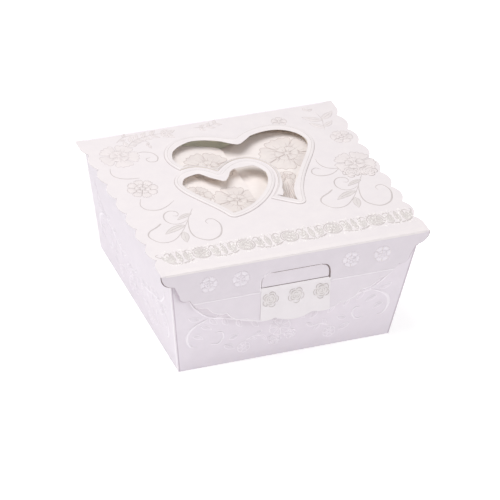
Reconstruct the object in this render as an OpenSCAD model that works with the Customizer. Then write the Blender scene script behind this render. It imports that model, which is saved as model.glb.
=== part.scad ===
// Folding paperboard card box with a double-heart lid.
// The tray widens towards its rim. The lid folds from the back wall, and its front
// edge folds down into a scalloped apron with a push-in lock tab.
// Origin: centre of the base's underside. +Z up, front of the box towards -Y.

/* [Board] */
// Thickness of the paperboard
board = 0.6; // [0.4:0.05:0.8]
// Clearance left at a crease that moves, and under the closed lid
crease_gap = 0.3; // [0.2:0.05:0.4]
// Clearance at the glued corners, for the glue line
glue_line = 0.05; // [0.02:0.01:0.1]

/* [Tray] */
// Height of the tray's rim above the table
tray_h = 70; // [60:1:90]
// Width at the rim, left to right
rim_w = 147.5; // [138:0.5:160]
// Depth at the rim, front to back
rim_d = 140; // [136:1:150]
// How far the left and right walls lean in from the rim to the base
side_inset = 10.75; // [6:0.25:16]
// How far the front and back walls lean in from the rim to the base
end_inset = 6; // [4:0.25:12]
// Width of each corner glue flap
glue_flap_w = 14; // [8:1:20]
// Angle cut off each end of a glue flap
glue_flap_taper = 14; // [6:1:25]
// Free space between a glue flap's ends and the base and rim
glue_flap_inset = 2; // [1.2:0.1:4]

/* [Lid] */
// How far the lid's side lobes stand out past the rim
side_overhang = 4.8; // [3.6:0.1:8]
// How far the lid's front fold stands out past the rim
front_overhang = 0.8; // [0.6:0.1:1.2]
// Number of lobes along each side of the lid
side_lobes = 9; // [6:1:12]
// Height of a side lobe from cusp to crest
side_lobe_rise = 3.1; // [1.5:0.1:3.5]

/* [Heart windows] */
// Width of the large heart window
large_heart_w = 80.6; // [70:0.2:84]
// Height of the large heart window, from its lobes to its tip
large_heart_h = 74.6; // [66:0.2:78]
// Left edge of the large heart, from the lid's centre line
large_heart_x = -32.3; // [-36:0.1:-28]
// Top of the large heart, from the back crease
large_heart_y = 17.9; // [14:0.1:22]
// Width of the small heart window
small_heart_w = 49.5; // [42:0.5:54]
// Height of the small heart window, from its lobes to its tip
small_heart_h = 45.2; // [38:0.2:50]
// Left edge of the small heart, from the lid's centre line
small_heart_x = -36.2; // [-42:0.1:-30]
// Top of the small heart, from the back crease
small_heart_y = 49.3; // [46:0.1:52]
// Width of the embossed rim round each heart
heart_rim_w = 3.8; // [2:0.1:5]
// Height of the embossed rims above the lid
heart_rim_rise = 0.4; // [0.2:0.05:0.8]
// Width of the strip of lid that carries the small heart across the large one
heart_bridge_w = 7; // [6:0.1:8]
// Width of the second embossed line, along the bridge's edge
bridge_line_w = 1; // [0.6:0.1:1.4]

/* [Front flap] */
// Length of the front flap from its fold to the lowest point of the apron
flap_drop = 41.3; // [38:0.1:46]
// Distance from the fold to the crease above the apron
apron_crease = 21.3; // [20:0.1:24]
// Radius of the flap's rounded top corners
flap_corner_r = 7.7; // [5:0.1:9]
// Height of the apron's small lobes from cusp to crest
apron_lobe_rise = 2; // [1:0.1:2.6]
// Angle at which the apron stands out from the flap's band
apron_lift = 4; // [1:0.5:8]

/* [Lock] */
// Width of the lock window in the flap
lock_window_w = 40.2; // [30:0.2:46]
// Height of the lock window
lock_window_h = 8.9; // [7:0.1:10]
// Radius of the window's upper corners
lock_window_r = 5; // [2:0.1:6]
// Distance from the fold to the tab's crease, at the bottom of the window
lock_crease = 18.5; // [17.8:0.1:19]
// Clearance round the tab in its window
tab_play = 0.35; // [0.2:0.05:0.5]
// Angle by which the tab is pressed back towards the front wall
tab_press = 3; // [1:0.5:3.5]
// Height of the slit in the front wall that takes the tab
lock_slit_h = 1.6; // [1:0.1:2.4]

/* [Dust flaps] */
// How far the dust flaps reach past the box's centre line
dust_overlap = 2; // [1:0.25:2.5]
// Angle by which the left dust flap, which lies on top, slopes down
dust_slope = 4; // [3.5:0.25:4.25]
// How much more steeply the right dust flap slopes, so that it lies below the left one
dust_slope_step = 1.75; // [1.5:0.25:3]
// Clearance between the dust flaps and the walls at their front and back ends
dust_end_gap = 1; // [0.6:0.1:3]
// Taper of a dust flap's back edge, which lets the lid lift clear of it
dust_back_taper = 13.5; // [13:0.5:20]
// Taper of a dust flap's front edge
dust_front_taper = 6; // [2:1:15]
// Radius of a dust flap's free corners
dust_corner_r = 6; // [2:0.5:10]

/* [Hidden] */
$fn = 48;

lid_white = [0.96, 0.94, 0.95];
tray_white = [0.90, 0.87, 0.90];
flap_white = [0.87, 0.83, 0.87];
inner_white = [0.93, 0.91, 0.88];

// The walls lean out from the base to the rim.
base_w = rim_w - 2 * side_inset;
base_d = rim_d - 2 * end_inset;
end_lean = atan(end_inset / tray_h);
side_lean = atan(side_inset / tray_h);
end_slant = tray_h / cos(end_lean);
side_slant = tray_h / cos(side_lean);
// Level thickness of a leaning wall, which is how far its inner face lies inside its outer one
end_wall_t = board / cos(end_lean);
side_wall_t = board / cos(side_lean);

// The lid lies just above the rim, and folds down just outside the front wall.
lid_z = tray_h + crease_gap;
fold_y = -rim_d / 2 - front_overhang;
lid_d = rim_d + front_overhang;
lid_half_w = rim_w / 2 + side_overhang;
side_pitch = lid_d / side_lobes;

// Half of the apron's scalloped edge: where each cusp lies, as a share of the fold's
// half width and of the flap's drop. The last one is the end of the middle lobe.
APRON_CUSPS = [[0.86, 0.35], [0.785, 0.44], [0.645, 0.6], [0.498, 0.73], [0.35, 0.877], [0.135, 0.927]];
lock_half_w = lock_window_w / 2;
// The slit in the front wall is wider than the window by this at each end.
slit_margin = 0.6;
// How far a cutting shape runs past what it cuts
cut_past = 1;

// Each heart is a loop of six Bezier anchors, as shares of its width and height, y
// towards the front: [anchor, handle in, handle out]. In order: cleft, right lobe's
// top, right side, tip, left side, left lobe's top.
LARGE_HEART = [
  [[0.517, 0.126], [-0.10, -0.05], [0.06, -0.06]],
  [[0.787, 0.007], [-0.12, 0], [0.118, 0]],
  [[1, 0.229], [0, -0.123], [0, 0.17]],
  [[0.655, 1], [0.06, -0.36], [-0.20, -0.15]],
  [[0, 0.216], [0, 0.20], [0, -0.119]],
  [[0.207, 0], [-0.114, 0], [0.13, 0]]
];
SMALL_HEART = [
  [[0.483, 0.277], [-0.08, -0.12], [0.07, -0.12]],
  [[0.82, 0], [-0.13, 0], [0.10, 0]],
  [[1, 0.252], [0, -0.139], [0, 0.30]],
  [[0.347, 1], [0.30, -0.05], [-0.10, -0.30]],
  [[0, 0.228], [0, 0.20], [0, -0.116]],
  [[0.214, 0.018], [-0.118, 0], [0.10, 0]]
];
HEART_STEPS = 14;
ARC_STEPS = 8;

function bezier(a, b, c, d, t) =
  a * pow(1 - t, 3) + b * 3 * t * pow(1 - t, 2) + c * 3 * t * t * (1 - t) + d * pow(t, 3);

// Points round a loop of anchors
function loop_points(anchors) = [
  for (i = [0:len(anchors) - 1], s = [0:HEART_STEPS - 1])
    let (a = anchors[i], b = anchors[(i + 1) % len(anchors)])
      bezier(a[0], a[0] + a[2], b[0] + b[1], b[0], s / HEART_STEPS)
];

// A heart window in the lid's plane, x across and y from the back crease forwards
module heart(anchors, x, y, w, h) {
  translate([x, -y]) polygon([for (p = loop_points(anchors)) [p[0] * w, -p[1] * h]]);
}

module large_heart() {
  heart(LARGE_HEART, large_heart_x, large_heart_y, large_heart_w, large_heart_h);
}

module small_heart() {
  heart(SMALL_HEART, small_heart_x, small_heart_y, small_heart_w, small_heart_h);
}

// What is cut out of the lid: both hearts, less the bridge that carries the small one
module heart_cuts() {
  difference() {
    large_heart();
    offset(r = heart_bridge_w) small_heart();
  }
  small_heart();
}

// The raised lines: a rim round each heart, and a line along the bridge's edge that
// joins the large heart's rim at both ends
module heart_rims() {
  difference() {
    offset(r = heart_rim_w) large_heart();
    large_heart();
    offset(r = heart_bridge_w - bridge_line_w) small_heart();
  }
  difference() {
    offset(r = heart_rim_w) small_heart();
    small_heart();
  }
  intersection() {
    large_heart();
    difference() {
      offset(r = heart_bridge_w) small_heart();
      offset(r = heart_bridge_w - bridge_line_w) small_heart();
    }
  }
}

// Points along the arc that bulges by rise to the left of the chord from a to b,
// between two shares of its length
function arc(a, b, rise, from = 0, to = 1) =
  let (
    span = norm(b - a),
    r = (span * span / 4 + rise * rise) / (2 * rise),
    along = (b - a) / span,
    outward = [-along[1], along[0]],
    half_angle = asin(span / 2 / r)
  ) [
    for (k = [0:ARC_STEPS])
      let (angle = half_angle * (2 * (from + (to - from) * k / ARC_STEPS) - 1))
        (a + b) / 2 + outward * (rise - r + r * cos(angle)) + along * r * sin(angle)
  ];

// The same points on the other side of the centre line, in reverse order
function mirrored(points) = [for (k = [len(points) - 1:-1:0]) [-points[k][0], points[k][1]]];

function joined(lists) = [for (list = lists, point = list) point];

// Tapered wall, drawn flat: base edge on y = 0, with the rim edge a slant away
module wall_outline(base_half, rim_half, slant) {
  polygon([[-base_half, 0], [base_half, 0], [rim_half, slant], [-rim_half, slant]]);
}

// Stands a flat drawing up as the front wall's layer, counted inwards from 0
module on_front(layer = 0) {
  translate([0, -base_d / 2, 0]) rotate([90 + end_lean, 0, 0])
    translate([0, 0, -(layer + 1) * board]) linear_extrude(board) children();
}

module on_side() {
  translate([base_w / 2, 0, 0]) rotate([0, 0, 90]) rotate([90 + side_lean, 0, 0])
    translate([0, 0, -board]) linear_extrude(board) children();
}

module end_outline() {
  wall_outline(base_w / 2, rim_w / 2, end_slant);
}

module side_outline() {
  wall_outline(base_d / 2 - end_wall_t, rim_d / 2 - end_wall_t, side_slant);
}

// Corner glue flap on the right of an end wall, drawn flat in that wall's plane
module glue_outline() {
  rise = side_inset / end_slant;
  edge = base_w / 2 - side_wall_t - glue_line;
  low = glue_flap_inset;
  high = end_slant - glue_flap_inset;
  cut_back = glue_flap_w * tan(glue_flap_taper);
  polygon([
    [edge + rise * low, low],
    [edge + rise * high, high],
    [edge + rise * high - glue_flap_w, high - cut_back],
    [edge + rise * low - glue_flap_w, low + cut_back]
  ]);
}

module bottom_panel() {
  color(tray_white)
    translate([-base_w / 2 + side_wall_t, -base_d / 2 + end_wall_t, 0])
      cube([base_w - 2 * side_wall_t, base_d - 2 * end_wall_t, board]);
}

// The slit lies level with the tab's crease, so that the tab tucks in through it.
module front_wall() {
  slit_v = (lid_z - lock_crease) / cos(end_lean);
  color(tray_white) on_front() difference() {
    end_outline();
    translate([-lock_half_w - slit_margin, slit_v])
      square([lock_window_w + 2 * slit_margin, lock_slit_h]);
  }
}

module back_wall() {
  color(tray_white) rotate([0, 0, 180]) on_front() end_outline();
}

module right_wall() {
  color(tray_white) on_side() side_outline();
}

module left_wall() {
  color(tray_white) rotate([0, 0, 180]) on_side() side_outline();
}

module glue_flap(turn, flip) {
  color(tray_white) rotate([0, 0, turn]) mirror([flip, 0, 0]) on_front(1) glue_outline();
}

module front_right_glue_flap() {
  glue_flap(0, 0);
}

module front_left_glue_flap() {
  glue_flap(0, 1);
}

module back_left_glue_flap() {
  glue_flap(180, 0);
}

module back_right_glue_flap() {
  glue_flap(180, 1);
}

// Dust flap drawn flat: u runs in from the crease on the side wall, v towards the back
module dust_outline() {
  reach = rim_w / 2 - side_wall_t + dust_overlap;
  end = rim_d / 2 - 2 * end_wall_t - dust_end_gap;
  corner_u = reach - dust_corner_r;
  back = end - corner_u * tan(dust_back_taper) - dust_corner_r;
  front = end - corner_u * tan(dust_front_taper) - dust_corner_r;
  hull() {
    translate([crease_gap, -end]) square([dust_corner_r, 2 * end - dust_corner_r * tan(dust_back_taper)]);
    translate([corner_u, back]) circle(r = dust_corner_r);
    translate([corner_u, -front]) circle(r = dust_corner_r);
  }
}

module dust_flap(slope) {
  translate([-rim_w / 2 + side_wall_t, 0, tray_h]) rotate([0, slope, 0])
    translate([0, 0, -board]) linear_extrude(board) dust_outline();
}

module left_dust_flap() {
  color(inner_white) dust_flap(dust_slope);
}

module right_dust_flap() {
  color(inner_white) mirror([1, 0, 0]) dust_flap(dust_slope + dust_slope_step);
}

// Lid drawn flat, y = 0 at the back crease. The back edge and the front fold are
// straight. Both sides are a row of lobes, and the end ones run square into the corners.
module lid_outline() {
  cusps = [for (i = [0:side_lobes]) [lid_half_w - side_lobe_rise, -i * side_pitch]];
  side = joined([
    [[lid_half_w, 0]],
    for (i = [0:side_lobes - 1])
      let (from = i == 0 ? 0.5 : 0, to = i == side_lobes - 1 ? 0.5 : 1)
        arc(cusps[i], cusps[i + 1], side_lobe_rise, from, to),
    [[lid_half_w, -lid_d]]
  ]);
  polygon(concat(side, mirrored(side)));
}

module lid_panel() {
  color(lid_white) translate([0, rim_d / 2, lid_z]) {
    linear_extrude(board) difference() {
      lid_outline();
      heart_cuts();
    }
    translate([0, 0, board]) linear_extrude(heart_rim_rise) heart_rims();
  }
}

// Front flap drawn flat: y = 0 at the fold, going down. The top corners are rounded,
// and lobes of falling size run down both sides to the middle one.
module flap_outline() {
  cusps = [for (share = APRON_CUSPS) [share[0] * lid_half_w, -share[1] * flap_drop]];
  last = cusps[len(cusps) - 1];
  neck = lid_half_w - flap_corner_r;
  corner = [
    for (k = [0:ARC_STEPS])
      [neck + flap_corner_r * cos(90 * k / ARC_STEPS), -flap_corner_r * sin(90 * k / ARC_STEPS)]
  ];
  lobes = [for (i = [0:len(cusps) - 2]) arc(cusps[i], cusps[i + 1], apron_lobe_rise)];
  side = concat(corner, joined(lobes));
  polygon(concat(side, arc(last, [-last[0], last[1]], flap_drop + last[1]), mirrored(side)));
}

// Part of a flat drawing between two distances from the fold
module between(from, to) {
  intersection() {
    children();
    translate([-lid_half_w - cut_past, -to]) square([2 * (lid_half_w + cut_past), to - from]);
  }
}

// Lock window, or the tab inside it when it is drawn in by play
module lock_outline(play) {
  half = lock_half_w - play;
  high = lock_window_h - play;
  r = lock_window_r - play;
  translate([-half, 0]) square([2 * half, high - r]);
  translate([-half + r, 0]) square([2 * (half - r), high]);
  for (x = [-half + r, half - r]) translate([x, high - r]) circle(r = r);
}

// Stands a drawing up in the plane of the front flap, its outer face on the fold
module on_flap() {
  rotate([90, 0, 0]) translate([0, 0, -board]) linear_extrude(board) children();
}

module flap_band() {
  color(flap_white) translate([0, fold_y, lid_z]) on_flap() difference() {
    between(0, apron_crease - crease_gap / 2) flap_outline();
    translate([0, -lock_crease]) lock_outline(0);
  }
}

module flap_apron() {
  color(flap_white) translate([0, fold_y, lid_z - apron_crease]) rotate([-apron_lift, 0, 0])
    on_flap() translate([0, apron_crease]) between(apron_crease + crease_gap / 2, flap_drop + cut_past)
      flap_outline();
}

module lock_tab() {
  color(flap_white) translate([0, fold_y, lid_z - lock_crease]) rotate([-tab_press, 0, 0])
    on_flap() between(-lock_window_h, -crease_gap) lock_outline(tab_play);
}

bottom_panel();
front_wall();
back_wall();
left_wall();
right_wall();
front_left_glue_flap();
front_right_glue_flap();
back_left_glue_flap();
back_right_glue_flap();
left_dust_flap();
right_dust_flap();
lid_panel();
flap_band();
flap_apron();
lock_tab();
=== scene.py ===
# Paperboard card box with a double-heart lid: materials, printed and embossed ornament,
# folded creases, camera and light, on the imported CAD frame.
from itertools import accumulate
from math import atan, copysign, cos, hypot, pi, radians, sin, sqrt, tan

import bmesh
import bpy
from mathutils import Matrix, Vector


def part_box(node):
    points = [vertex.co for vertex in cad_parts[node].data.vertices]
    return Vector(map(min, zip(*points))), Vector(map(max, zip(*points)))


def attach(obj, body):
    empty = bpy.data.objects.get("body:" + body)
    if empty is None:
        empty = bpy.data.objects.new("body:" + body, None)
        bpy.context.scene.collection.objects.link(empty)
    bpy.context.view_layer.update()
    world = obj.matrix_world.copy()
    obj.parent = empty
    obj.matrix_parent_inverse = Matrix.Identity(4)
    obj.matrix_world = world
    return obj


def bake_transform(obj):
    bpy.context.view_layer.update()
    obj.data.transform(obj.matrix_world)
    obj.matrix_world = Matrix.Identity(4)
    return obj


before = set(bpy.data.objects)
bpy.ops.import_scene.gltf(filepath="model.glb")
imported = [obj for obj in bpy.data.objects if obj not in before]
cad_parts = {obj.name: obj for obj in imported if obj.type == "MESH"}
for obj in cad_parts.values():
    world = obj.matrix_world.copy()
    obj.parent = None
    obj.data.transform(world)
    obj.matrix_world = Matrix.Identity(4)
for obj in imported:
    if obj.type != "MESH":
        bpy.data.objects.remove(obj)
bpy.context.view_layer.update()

MM = 0.001
scene = bpy.context.scene

# ---------------- sizes, from the frame (mm)


def node_box(name):
    """A CAD node's lowest and highest corners, in millimetres."""
    low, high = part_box(name)
    return low / MM, high / MM


lid_low, lid_high = node_box("lid_panel")
front_low, front_high = node_box("front_wall")

BOARD = 0.6
HEART_RIM = 0.4  # how far the hearts' rims rise above the lid
RIM_Z = front_high.z
LID_TOP = lid_high.z - HEART_RIM
LID_UNDER = lid_low.z
BACK_Y = lid_high.y
FOLD_Y = lid_low.y
LID_HALF_W = lid_high.x
RIM_HALF_W = front_high.x
RIM_HALF_D = -front_low.y
END_INSET = 6.0  # how far in the front and back walls lean towards the base, and the side walls
SIDE_INSET = 10.75
END_LEAN = atan(END_INSET / RIM_Z)
SIDE_LEAN = atan(SIDE_INSET / RIM_Z)
APRON_LIFT = radians(4)
APRON_CREASE = 21.3  # how far below the front fold it lies, and the lock tab's crease too
TAB_CREASE = 18.5
WINDOW_W = 40.2
WINDOW_H = 8.9
FLAP_DROP = 41.3
BOX_MIDDLE = Vector((0, 0, RIM_Z / 2))
DUST_CREASE_X = RIM_HALF_W - BOARD / cos(SIDE_LEAN)
LEFT_DUST_SLOPE = radians(4)
RIGHT_DUST_SLOPE = radians(5.75)

# ---------------- node materials


def srgb(r, g, b):
    """A colour picked as 0 to 255 display values, as linear RGBA."""
    def linear(c):
        c = c / 255
        return c / 12.92 if c <= 0.04045 else ((c + 0.055) / 1.055) ** 2.4
    return (linear(r), linear(g), linear(b), 1)


def set_inputs(made, values):
    """Sets a node's inputs, each to a value or to follow another node's output."""
    for name, value in values.items():
        if isinstance(value, bpy.types.NodeSocket):
            made.id_data.links.new(value, made.inputs[name])
        else:
            made.inputs[name].default_value = value


def node(tree, kind, output, values, **settings):
    """An output of a new shader node."""
    made = tree.nodes.new("ShaderNode" + kind)
    for name, value in settings.items():
        setattr(made, name, value)
    set_inputs(made, values)
    return made.outputs[output]


def ramp(tree, factor, *stops):
    """A colour ramp fed by factor, with two (position, colour) stops."""
    made = tree.nodes.new("ShaderNodeValToRGB")
    for element, (position, colour) in zip(made.color_ramp.elements, stops):
        element.position, element.color = position, colour
    set_inputs(made, {"Fac": factor})
    return made.outputs["Color"]


def facing_out(tree, place):
    """1 on faces that look away from the middle of the box and 0 on those that look into it."""
    normal = node(tree, "TexCoord", "Normal", {})
    from_middle = node(tree, "VectorMath", "Vector", {0: place, 1: BOX_MIDDLE * MM}, operation="SUBTRACT")
    dot = node(tree, "VectorMath", "Value", {0: from_middle, 1: normal}, operation="DOT_PRODUCT")
    return node(tree, "Math", "Value", {0: dot, 1: 0}, operation="GREATER_THAN")


def new_material(name):
    """A material with its node tree, its shader and the place on the object."""
    material = bpy.data.materials.new(name)
    material.use_nodes = True
    tree = material.node_tree
    return material, tree, tree.nodes["Principled BSDF"], node(tree, "TexCoord", "Object", {})


MOTTLE = {"Scale": 140, "Detail": 5, "Roughness": 0.6}
GRAIN = {"Scale": 2600, "Detail": 3, "Roughness": 0.65}
WAVES = {"Scale": 34, "Detail": 2}
CARD_BACK = (246, 238, 222)  # the colour of the card's uncoated side
CARD_PATH = 1.4  # how far light travels inside the card, in mm
ROUGHNESS = (0.42, 0.58)
WAVE_STRENGTH = 0.5
WAVE_HEIGHT = 1.2  # mm
FIBRE_HEIGHT = 0.06  # mm


def paper(name, light, dark, pearl=0.25, fibre=0.25, two_sided=False, through=0.0):
    """Coated pearl paperboard: mottled colour, fine fibre grain, and slight waves in the sheet.
    Where it is two-sided, the faces that look into the box are the card's uncoated side, and
    through is the share of the light that enters the card and may pass to its other side."""
    material, tree, shader, place = new_material(name)
    mottle, grain, waves = (node(tree, "TexNoise", "Fac", {"Vector": place, **noise})
                            for noise in (MOTTLE, GRAIN, WAVES))
    colour = ramp(tree, mottle, (0.3, srgb(*dark)), (0.7, srgb(*light)))
    if two_sided:
        colour = node(tree, "Mix", "Result", {"A": srgb(*CARD_BACK), "B": colour,
                                              "Factor": facing_out(tree, place)}, data_type="RGBA")
    gloss = node(tree, "MapRange", "Result", {"Value": grain, "To Min": ROUGHNESS[0], "To Max": ROUGHNESS[1]})
    sheet = node(tree, "Bump", "Normal", {"Height": waves, "Strength": WAVE_STRENGTH,
                                          "Distance": WAVE_HEIGHT * MM})
    surface = node(tree, "Bump", "Normal", {"Height": grain, "Strength": fibre,
                                            "Distance": FIBRE_HEIGHT * MM, "Normal": sheet})
    set_inputs(shader, {"Base Color": colour, "Roughness": gloss, "Normal": surface,
                        "Subsurface Weight": through, "Subsurface Radius": (1, 1, 1),
                        "Subsurface Scale": CARD_PATH * MM, "Specular IOR Level": 0.35,
                        "Coat Weight": pearl, "Coat Roughness": 0.32})
    return material


FLOOR_GLOW = 0.5


def floor_material():
    """Plain pale floor, softly lit from below as a product table is."""
    material, tree, shader, place = new_material("floor")
    cloud = node(tree, "TexNoise", "Fac", {"Vector": place, "Scale": 3, "Detail": 2})
    colour = ramp(tree, cloud, (0.0, (0.78, 0.78, 0.78, 1)), (1.0, (0.8, 0.8, 0.8, 1)))
    set_inputs(shader, {"Base Color": colour, "Roughness": 0.9, "Specular IOR Level": 0.1,
                        "Emission Color": (1, 1, 1, 1), "Emission Strength": FLOOR_GLOW})
    return material


LID_PAPER = paper("lid_paper", (233, 226, 227), (229, 222, 224), two_sided=True)
# Lighter, pearlier paper: on the heart rims partly their own colour and partly a painted highlight, on the
# front fold a painted highlight.
RIM_AND_FOLD_HIGHLIGHT = paper("rim_and_fold_highlight_paper", (236, 229, 229), (231, 224, 225), pearl=0.5)
TRAY_PAPER = paper("tray_paper", (229, 221, 229), (225, 217, 225), two_sided=True)
BACK_PAPER = paper("back_paper", (232, 225, 232), (228, 221, 228), two_sided=True, through=1.0)
FLAP_PAPER = paper("flap_paper", (229, 221, 228), (225, 217, 224), two_sided=True)
# A darker copy of the flap paper: painted shade on the band under the lid's front edge.
BAND_PAPER_SHADED = paper("band_paper_shaded", (224, 216, 223), (220, 212, 219), two_sided=True)
# A whiter copy of the flap paper: partly the middle panel's own colour, partly painted light on its upturned
# face.
PANEL_PAPER = paper("panel_paper", (238, 232, 235), (234, 228, 231))
INNER_PAPER = paper("inner_paper", (238, 231, 229), (233, 225, 223), pearl=0.1)
# Lighter paper for creases, folds and cut edges; on the corner folds and the lit cut edges it is a painted
# highlight.
CREASE_AND_HIGHLIGHT = paper("crease", (243, 237, 242), (239, 232, 238), fibre=0.6)

# Inks and shades: name, light and dark colour, pearl, fibre
PETAL_INK = paper("petal_ink", (234, 226, 226), (227, 219, 219), 0.4, 0.5)
LEAF_INK = paper("leaf_ink", (226, 219, 218), (217, 210, 209), 0.4, 0.5)
LINE_INK = paper("line_ink", (209, 201, 200), (198, 190, 189), 0.3, 0.6)
FAINT_LINE = paper("faint_line", (219, 211, 211), (210, 202, 202), 0.3, 0.6)
LACE_INK = paper("lace_ink", (221, 215, 213), (209, 203, 201), 0.4, 0.6)
PANEL_INK = paper("panel_ink", (234, 228, 229), (227, 221, 221), 0.4, 0.6)
# Bright specks scattered over the lace, lighter than the paper.
BRIGHT_SPECKS = paper("bright_specks", (249, 245, 243), (243, 238, 236), 0.7, 0.8)
PEARL_INK = paper("pearl_ink", (237, 230, 237), (231, 224, 231), 0.5, 0.5)
EMBOSS = paper("emboss", (229, 221, 229), (223, 215, 223), 0.4, 0.4)
EMBOSS_LINE = paper("emboss_line", (242, 235, 242), (236, 229, 236), 0.5, 0.4)
DUST_INK = paper("dust_ink", (231, 223, 220), (222, 213, 211), 0.2, 0.5)
DUST_LINE = paper("dust_line", (209, 199, 196), (199, 188, 185), 0.2, 0.6)
CUT_SHADE = paper("cut_shade", (142, 128, 130), (120, 106, 108), 0.0, 0.6)
EDGE_SHADE = paper("edge_shade", (168, 154, 164), (152, 138, 149), 0.0, 0.6)
FOLD_SHADE = paper("fold_shade", (206, 195, 205), (194, 182, 193), 0.0, 0.6)

PAPER_OF_NODE = {"lid_panel": LID_PAPER, "flap_band": BAND_PAPER_SHADED, "flap_apron": FLAP_PAPER,
                 "lock_tab": FLAP_PAPER, "front_wall": TRAY_PAPER, "back_wall": BACK_PAPER,
                 "left_wall": TRAY_PAPER, "right_wall": TRAY_PAPER}
for name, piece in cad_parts.items():
    for slot in piece.material_slots:
        slot.material = PAPER_OF_NODE.get(name, INNER_PAPER)

# ---------------- flat places to draw on


class Plane:
    """A flat face of the box. x runs to the right as seen from outside and y down, in
    millimetres from the middle of the face's top edge."""

    def __init__(self, origin, across, down):
        self.origin = Vector(origin)
        self.across = Vector(across).normalized()
        self.down = Vector(down).normalized()
        self.out = self.down.cross(self.across)

    def at(self, x, y, z=0.0):
        return (self.origin + self.across * x + self.down * y + self.out * z) * MM


def wall_plane(turn, reach, lean):
    """The outer face of a wall that leans in towards the base, turned about the box's axis."""
    spin = Matrix.Rotation(turn, 3, "Z")
    origin = spin @ Vector((0, -reach, RIM_Z))
    return Plane(origin, spin @ Vector((1, 0, 0)), spin @ Vector((0, sin(lean), -cos(lean))))


def apron_plane(standoff, lift):
    return Plane((0, FOLD_Y - standoff, LID_UNDER - APRON_CREASE), (1, 0, 0), (0, -sin(lift), -cos(lift)))


def dust_plane(side, slope):
    return Plane((side * DUST_CREASE_X, BACK_Y, RIM_Z), (cos(slope), 0, side * sin(slope)), (0, -1, 0))


LID = Plane((0, BACK_Y, LID_TOP), (1, 0, 0), (0, -1, 0))
RIM_TOP = Plane((0, BACK_Y, LID_TOP + HEART_RIM), (1, 0, 0), (0, -1, 0))
BAND = Plane((0, FOLD_Y, LID_UNDER), (1, 0, 0), (0, 0, -1))
APRON = apron_plane(0, APRON_LIFT)
# The middle panel of the apron stands off a little and is levered out further than the rest.
PANEL = apron_plane(0.2, APRON_LIFT + radians(1.2))
FRONT = wall_plane(0, RIM_HALF_D, END_LEAN)
BACK = wall_plane(pi, RIM_HALF_D, END_LEAN)
LEFT = wall_plane(-pi / 2, RIM_HALF_W, SIDE_LEAN)
RIGHT = wall_plane(pi / 2, RIM_HALF_W, SIDE_LEAN)
LEFT_DUST = dust_plane(-1, LEFT_DUST_SLOPE)
RIGHT_DUST = dust_plane(1, RIGHT_DUST_SLOPE)

# ---------------- relief drawing

SUNK = -0.03  # how deep a raised shape's foot lies in the board, mm
SHARP_FOLD = radians(40)
# Cross-sections of a raised band, as (share of its half width, share of its height)
CROWN = [(-1, None), (-0.62, 0.75), (0, 1), (0.62, 0.75), (1, None)]
RIBBED = [(-1, None), (-0.85, 0.55), (-0.45, 1), (0, 0.35), (0.45, 1), (0.85, 0.55), (1, None)]


def smooth(points, steps=6, closed=False):
    """Catmull-Rom curve through points."""
    points = [Vector(p) for p in points]
    if len(points) < 3:
        return points
    count = len(points)
    out = []
    for i in range(count if closed else count - 1):
        if closed:
            a, b, c, d = (points[(i + k) % count] for k in (-1, 0, 1, 2))
        else:
            b, c = points[i], points[i + 1]
            a = points[i - 1] if i else b * 2 - c
            d = points[i + 2] if i + 2 < count else c * 2 - b
        for s in range(steps):
            t = s / steps
            out.append(0.5 * (2 * b + (c - a) * t + (2 * a - 5 * b + 4 * c - d) * t ** 2
                              + (3 * b - a - 3 * c + d) * t ** 3))
    if not closed:
        out.append(points[-1])
    return out


def polar(x, y, r, degrees):
    """The place at a distance r from (x, y), in a direction given in degrees."""
    a = radians(degrees)
    return Vector((x + r * cos(a), y + r * sin(a)))


def circle(x, y, r, count=24):
    return [polar(x, y, r, 360 * k / count) for k in range(count)]


def side_of(line, i, closed=False):
    """The unit vector across a line at its point i."""
    if closed:
        along = line[(i + 1) % len(line)] - line[i - 1]
    else:
        along = line[min(i + 1, len(line) - 1)] - line[max(i - 1, 0)]
    along.normalize()
    return Vector((-along.y, along.x))


def moved_across(line, by):
    """A line moved sideways, to the right of the way it runs where by is positive."""
    return [p - side_of(line, i) * by for i, p in enumerate(line)]


def even_width(t):
    """A line's width along its length, from 0 to 1: even, with short pointed ends."""
    return min(1, 0.25 + 7 * t, 0.25 + 7 * (1 - t))


def swelling(t):
    """A brush stroke: thin at both ends, full in the middle."""
    return 0.3 + 0.7 * sin(pi * t)


def leaf_width(t):
    return max(0.04, sin(pi * t ** 0.8) ** 0.85)


def leaf_spine(base, tip, bend, steps=9):
    """The line down the middle of a leaf that bows sideways by bend."""
    base, tip = Vector(base), Vector(tip)
    along = tip - base
    side = Vector((-along.y, along.x)).normalized()
    return [base + along * (k / steps) + side * bend * 4 * (k / steps) * (1 - k / steps)
            for k in range(steps + 1)]


# A lobed petal's edge, as (share of the way out, share of its half width)
PETAL_EDGE = [(0.1, 0.1), (0.3, 0.34), (0.55, 0.78), (0.76, 1), (0.92, 0.86), (0.9, 0.5), (1, 0.3), (0.93, 0)]
# One arc of a rose, as (share of its spread, share of its ring's radius)
ROSE_ARC = [(-1, 0.8), (-0.6, 0.98), (0, 1.04), (0.6, 0.98), (1, 0.86)]


def skin(rings):
    """Faces between cross-sections, each a closed ring of vertices."""
    return [(a[k - 1], a[k], b[k], b[k - 1]) for a, b in zip(rings, rings[1:]) for k in range(len(a))]


def tube(rings):
    """The same, closed at both ends."""
    return skin(rings) + [tuple(reversed(rings[0])), tuple(rings[-1])]


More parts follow.
